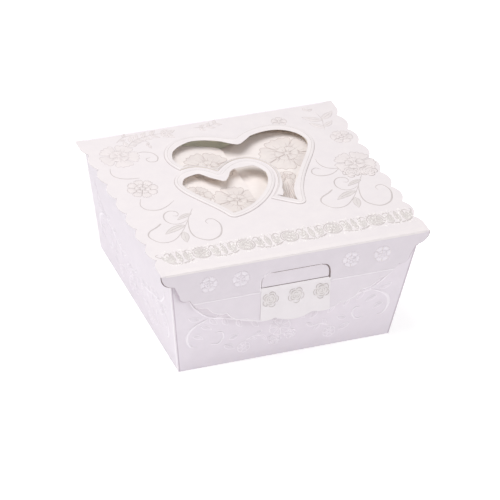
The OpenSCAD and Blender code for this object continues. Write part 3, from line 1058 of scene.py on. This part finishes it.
back_crease()
front_fold()
CREASE_HALF = node_box("flap_apron")[1].x - 0.2
apron_crease("apron_crease_left", -CREASE_HALF, PANEL_LEFT - 0.2, 0.3, CREASE_AND_HIGHLIGHT)
apron_crease("apron_crease_middle", PANEL_LEFT, PANEL_RIGHT, 0.7, PANEL_PAPER)
apron_crease("apron_crease_right", PANEL_RIGHT + 0.2, CREASE_HALF, 0.3, CREASE_AND_HIGHLIGHT)
tab_crease()
dust_crease("left_dust_crease", -1, LEFT_DUST_SLOPE)
dust_crease("right_dust_crease", 1, RIGHT_DUST_SLOPE)
for corner, *ways in (("front_left_corner", -1, -1), ("front_right_corner", 1, -1),
                      ("back_left_corner", -1, 1), ("back_right_corner", 1, 1)):
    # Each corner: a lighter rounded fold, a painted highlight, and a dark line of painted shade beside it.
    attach(extruded(corner, up_corner(CORNER_FOLD, *ways), CREASE_AND_HIGHLIGHT), "tray")
    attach(extruded(corner + "_shade_line", up_corner(CORNER_SHADE_LINE, *ways), FOLD_SHADE), "tray")

# ---------------- tray walls


def half_wall(drawing, reach):
    """Scroll, vine and flowers on one half of a wall. reach is the signed distance to its corner."""
    way = 1 if reach > 0 else -1

    def at(*points):
        return [(reach * x, y) for x, y in points]

    drawing.line.stroke(at((0.86, 54.8), (0.92, 53.6), (0.955, 50), (0.965, 46), (0.95, 42.4), (0.9, 39),
                           (0.82, 36.4), (0.78, 35.4)), 1.9, 0.36, swelling)
    drawing.vine(at((0.8, 35.4), (0.68, 36), (0.54, 38.6), (0.4, 41.6), (0.24, 43.4)), 8, 6.4, False, 0.7)
    drawing.line.stroke(at((0.985, 19.4), (0.97, 21.5), (0.915, 26.8), (0.815, 32.7), (0.7, 35.8)),
                        1.3, 0.3, swelling)
    drawing.leaf(*at((0.86, 35.4), (0.97, 32.8)), 3.2, 0.4 * way)
    drawing.leaf(*at((0.84, 40.4), (0.74, 43.6)), 2.8, 0.4 * way)
    drawing.leaf(*at((0.91, 46.6), (0.81, 49.4)), 2.6, 0.4 * way)
    drawing.line.stroke(at((0.73, 54.2), (0.66, 54.6), (0.62, 50.6), (0.635, 46.8), (0.69, 46.4)),
                        1.3, 0.3, swelling)
    drawing.bloom(reach * 0.41, 60.6, 3.8, 6, 20, 0.76, 1)
    drawing.leaf(*at((0.6, 57.4), (0.5, 60.4)), 3.4, 0.4 * way)
    drawing.leaf(*at((0.56, 52.8), (0.47, 50.4)), 3, -0.4 * way)
    drawing.vine(at((0.4, 56), (0.32, 53.8), (0.22, 54.6)), 3, 4.4)


def wall_ornament(plane, name, half_width):
    """Embossed scrolls, flowers and vines on the lower part of a wall."""
    drawing = Drawing(plane, 2.0)
    half_wall(drawing, -half_width)
    half_wall(drawing, half_width)
    drawing.bloom(-5, 50.4, 6.4, 7, 0, 0.8, 1)
    drawing.rose(-7.4, 59, 3.6)
    drawing.rose(1.6, 56.6, 3.2, 30)
    for k in range(7):
        drawing.fill.dot(-9 + 2.1 * k, 44.6 + 1.2 * sin(2 * k), 0.8, 0.3)
    drawing.vine([(-3, 46), (2, 43.4), (8, 44)], 3, 4)
    drawing.pieces(name, EMBOSS, EMBOSS_LINE, "tray")


for wall, side, half_width in ((FRONT, "front", 62), (BACK, "back", 62),
                               (LEFT, "left", 58), (RIGHT, "right", 58)):
    wall_ornament(wall, side + "_wall_ornament", half_width)

# ---------------- dust flaps, seen through the hearts

# Large printed flowers: (world x, distance from the back, radius, petals, turn)
LEFT_PRINTS = [(-12, 39, 14.5, 5, 20), (-9, 75, 13.5, 5, 60), (-29, 66, 8.5, 6, 10), (-44, 44, 9, 6, 0),
               (-22, 100, 12, 5, 35), (-48, 84, 10, 5, 50)]
RIGHT_PRINTS = [(35, 39, 16, 5, 50), (26, 60.4, 5.4, 5, 20), (46, 78, 11, 5, 20), (26, 96, 12, 5, 60)]

# Leaves below the small flower at (26, 60.4), and the fine strokes hatched over them: printed shapes that also
# paint the shade in the big heart's tail, darker towards the front
TAIL_SHADE_LEAVES = [((26, 62), (18, 92), 9), ((26.5, 63), (29, 90), 8)]
TAIL_SHADE_HATCHES = 11


def dust_prints(plane, prints, side, name, body):
    """Flowers printed on a dust flap, up to its free edge."""
    drawing = Drawing(plane)
    crease = side * DUST_CREASE_X
    for x, y, r, petals, turn in prints:
        drawing.bloom(x - crease, y, r, petals, turn, 0.84, 3, 0.14)
        drawing.bloom(x - crease, y, r * 0.45, petals + 1, turn + 20, 0.8, 1, 0.2, height=0.24)
    # Painted shade: leaves and widening hatch strokes darken the right flap where the big heart's tail looks
    # onto it.
    if side > 0:
        for (x0, y0), (x1, y1), width in TAIL_SHADE_LEAVES:
            drawing.leaf((x0 - crease, y0), (x1 - crease, y1), width, 0.6)
        for k in range(TAIL_SHADE_HATCHES):
            top, foot = 21.9 + 0.9 * k, 17.0 + 1.5 * k
            line = [(top - crease, 66 + k % 3), ((top + foot) / 2 - crease, 78), (foot - crease, 93)]
            drawing.line.stroke(line, 0.9 + 0.07 * k, 0.24, lambda t: 0.4 + 0.6 * t)
    free_edge = max(abs(c[0] - crease * MM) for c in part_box(body)) / MM
    limit = -side * (free_edge - 0.4)
    drawing.pieces(name, DUST_INK, DUST_LINE, body, [((limit, 0), (-side, 0))])


dust_prints(LEFT_DUST, LEFT_PRINTS, -1, "left_dust_flap_print", "left_dust_flap")
dust_prints(RIGHT_DUST, RIGHT_PRINTS, 1, "right_dust_flap_print", "right_dust_flap")

# ---------------- stage, camera and light

FLOOR_HALF = 3.0  # m
CAMERA_YAW = radians(-23.78)
CAMERA_PITCH = radians(34.05)
CAMERA_ROLL = radians(3.96)
CAMERA_DISTANCE = 1905.0
CAMERA_FOCUS = 3384.0  # focal length in pixels of a 500-pixel frame
CAMERA_AIM = Vector((0, 0, 35))
CAMERA_SIDESTEP = 2.24
CAMERA_RISE = -6.72
FRAME_PIXELS = 500
SENSOR = 36.0
CAMERA_FAR = 20.0  # m
WORLD_LIGHT = 0.36
LIGHT_AIM = Vector((0, 0, 0.04))  # m
LIGHT_BOUNCES = 16  # the white inside of the box passes light on many times


def make_floor():
    mesh = bpy.data.meshes.new("floor")
    corners = [(-FLOOR_HALF, -FLOOR_HALF, 0), (FLOOR_HALF, -FLOOR_HALF, 0),
               (FLOOR_HALF, FLOOR_HALF, 0), (-FLOOR_HALF, FLOOR_HALF, 0)]
    mesh.from_pydata(corners, [], [(0, 1, 2, 3)])
    mesh.materials.append(floor_material())
    new_object("floor", mesh)


def make_camera():
    back = Vector((sin(CAMERA_YAW) * cos(CAMERA_PITCH),
                   -cos(CAMERA_YAW) * cos(CAMERA_PITCH), sin(CAMERA_PITCH)))
    level = Vector((cos(CAMERA_YAW), sin(CAMERA_YAW), 0))
    upright = back.cross(level)
    right = level * cos(CAMERA_ROLL) + upright * sin(CAMERA_ROLL)
    up = upright * cos(CAMERA_ROLL) - level * sin(CAMERA_ROLL)
    camera = bpy.data.cameras.new("camera")
    camera.sensor_width = SENSOR
    camera.lens = CAMERA_FOCUS * SENSOR / FRAME_PIXELS
    camera.clip_end = CAMERA_FAR
    scene.camera = new_object("camera", camera)
    place = CAMERA_AIM + right * CAMERA_SIDESTEP + up * CAMERA_RISE + back * CAMERA_DISTANCE
    turn = Matrix((right, up, back)).transposed().to_4x4()
    scene.camera.matrix_world = Matrix.Translation(place * MM) @ turn


def area_light(name, place, size, watts):
    """A square soft light aimed at the box. place and size are in metres."""
    light = bpy.data.lights.new(name, "AREA")
    light.size = size
    light.energy = watts
    holder = new_object(name, light)
    holder.location = place
    holder.rotation_mode = "QUATERNION"
    holder.rotation_quaternion = (Vector(place) - LIGHT_AIM).to_track_quat("Z", "Y")


def make_world():
    scene.world = bpy.data.worlds.new("studio")
    scene.world.use_nodes = True
    set_inputs(scene.world.node_tree.nodes["Background"], {"Color": (1, 1, 1, 1), "Strength": WORLD_LIGHT})


make_floor()
make_camera()
make_world()
area_light("key", (-0.3, 0.1, 1.06), 0.76, 9.2)
area_light("fill", (0.3, -0.8, 0.85), 0.3, 2.4)
scene.cycles.max_bounces = LIGHT_BOUNCES
scene.cycles.diffuse_bounces = LIGHT_BOUNCES
scene.view_settings.view_transform = "Standard"
